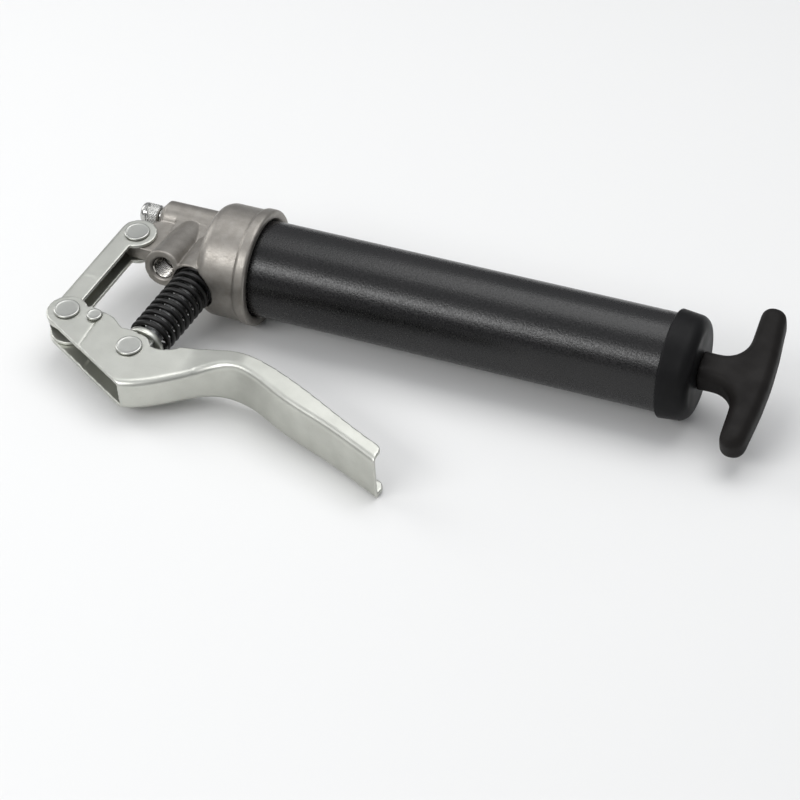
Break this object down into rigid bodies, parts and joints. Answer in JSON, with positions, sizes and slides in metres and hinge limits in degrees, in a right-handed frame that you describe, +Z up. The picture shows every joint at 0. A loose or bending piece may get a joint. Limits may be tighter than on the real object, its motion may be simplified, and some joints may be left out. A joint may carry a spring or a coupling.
{
  "type": "grease gun",
  "caption": "Small pistol-lever grease gun lying on its side: cast head with outlet, black barrel with spring follower, T-handle, folded steel lever on a swinging link.",
  "frame": {"origin": "centre of the footprint, on the surface that the gun lies on", "axes": "+X along the barrel from the head to the T-handle, +Z up, lever towards -Y"},
  "size_m": [0.27, 0.1222, 0.0464],
  "materials": {
    "cast_alloy": "as-cast satin",
    "bright_steel": "bright turned steel",
    "zinc_screw": "zinc-plated, knurled",
    "zinc_steel": "zinc-plated rivets",
    "zinc_sheet": "zinc-plated pressed sheet",
    "black_spring": "black oxide spring wire",
    "rubber": "moulded nitrile",
    "black_coat": "textured black powder coat",
    "black_cap": "semi-gloss black",
    "black_plastic": "moulded black"
  },
  "bodies": {
    "head": {"head_casting": "cast_alloy", "check_ball": "bright_steel", "check_spring": "bright_steel", "check_retainer": "bright_steel", "seal_washer": "bright_steel", "piston_seal": "rubber", "return_spring": "black_spring"},
    "bleeder": {"bleeder_screw": "zinc_screw"},
    "link": {"link_arm": "zinc_sheet", "lug_rivet": "zinc_steel"},
    "lever": {"lever_handle": "zinc_sheet", "link_rivet": "zinc_steel", "piston_rivet": "zinc_steel", "cross_pin": "zinc_steel"},
    "piston": {"piston_rod": "bright_steel", "spring_seat": "bright_steel"},
    "gasket": {"barrel_gasket": "rubber"},
    "barrel": {"barrel_tube": "black_coat", "end_cap": "black_cap", "rod_bushing": "black_plastic", "follower_spring": "black_spring"},
    "follower": {"follower_cup": "rubber", "front_washer": "bright_steel", "back_washer": "bright_steel"},
    "plunger": {"follower_rod": "bright_steel", "rod_nut": "bright_steel", "t_handle": "black_plastic"}
  },
  "joints": [
    {"name": "link_swing", "type": "hinge", "parent": "head", "child": "link", "pos_m": [-0.12225, 0.02931, 0.02295], "axis": [0, -0.1383, 0.9904], "range_deg": [-1, 0.2]},
    {"name": "lever_squeeze", "type": "hinge", "parent": "link", "child": "lever", "pos_m": [-0.12705, -0.0214, 0.01587], "axis": [0, -0.1383, 0.9904], "range_deg": [0, 22], "stiffness_Nm_per_rad": 0.8, "springref_deg": -22.92},
    {"name": "piston_stroke", "type": "slide", "parent": "head", "child": "piston", "axis": [0.112, 0.9842, 0.1374], "range_m": [0, 0.01245], "deforming": ["return_spring"]},
    {"name": "bleeder_turn", "type": "hinge", "parent": "head", "child": "bleeder", "pos_m": [-0.12425, 0.04629, 0.02532], "axis": [-1, 0, 0], "range_deg": [0, 540]},
    {"name": "barrel_back_out", "type": "slide", "parent": "head", "child": "gasket", "axis": [1, 0, 0], "range_m": [0, 0.0046]},
    {"name": "barrel_unscrew", "type": "hinge", "parent": "gasket", "child": "barrel", "pos_m": [-0.06725, 0.03109, 0.0232], "axis": [1, 0, 0], "range_deg": [0, 1080]},
    {"name": "follower_draw", "type": "slide", "parent": "barrel", "child": "follower", "axis": [1, 0, 0], "range_m": [0, 0.12], "stiffness_N_per_m": 100, "springref_m": -0.08, "deforming": ["follower_spring"]},
    {"name": "handle_spin", "type": "hinge", "parent": "follower", "child": "plunger", "pos_m": [0.12275, 0.03109, 0.0232], "axis": [1, 0, 0], "continuous": true}
  ],
  "couplings": [
    {"joint": "link_swing", "follows": "lever_squeeze", "ratio": -0.042741},
    {"joint": "piston_stroke", "follows": "lever_squeeze", "m_per_rad": 0.032142},
    {"joint": "barrel_back_out", "follows": "barrel_unscrew", "m_per_rad": 0.00023873}
  ]
}
